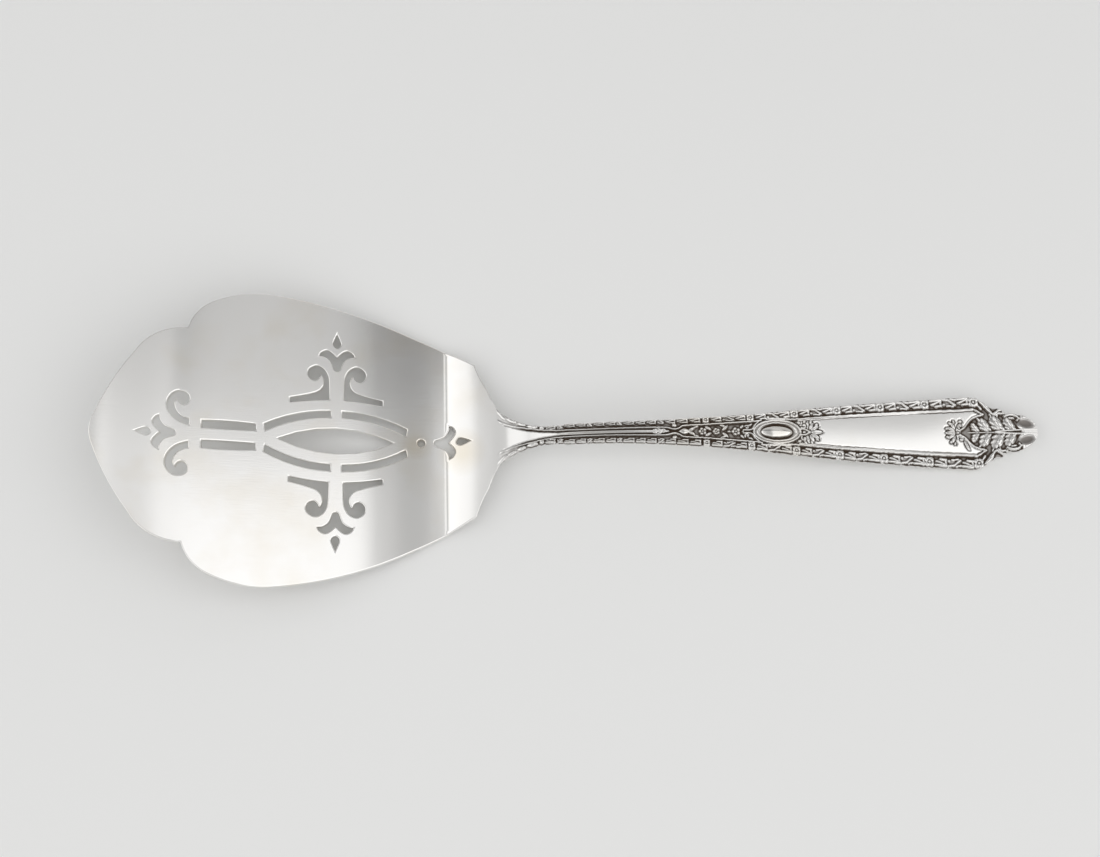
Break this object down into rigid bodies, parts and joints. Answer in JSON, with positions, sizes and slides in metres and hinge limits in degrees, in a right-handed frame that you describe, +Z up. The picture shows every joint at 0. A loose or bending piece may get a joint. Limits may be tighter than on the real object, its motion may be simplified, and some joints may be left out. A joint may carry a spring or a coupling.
{
  "type": "pierced server",
  "caption": "Cucumber server struck in one piece: broad lobed blade with a pierced cross and scroll design, and a long narrow handle with leaf borders in relief.",
  "frame": {"origin": "middle of the bounding box in plan, at the level of the surface that it lies on", "axes": "+X along the server towards the end of the handle, +Y across it, +Z up, away from the table"},
  "size_m": [0.1558, 0.0498, 0.013],
  "materials": {
    "silver": "polished silver with darkened recesses"
  },
  "bodies": {
    "root": {"server": "silver"}
  },
  "joints": []
}
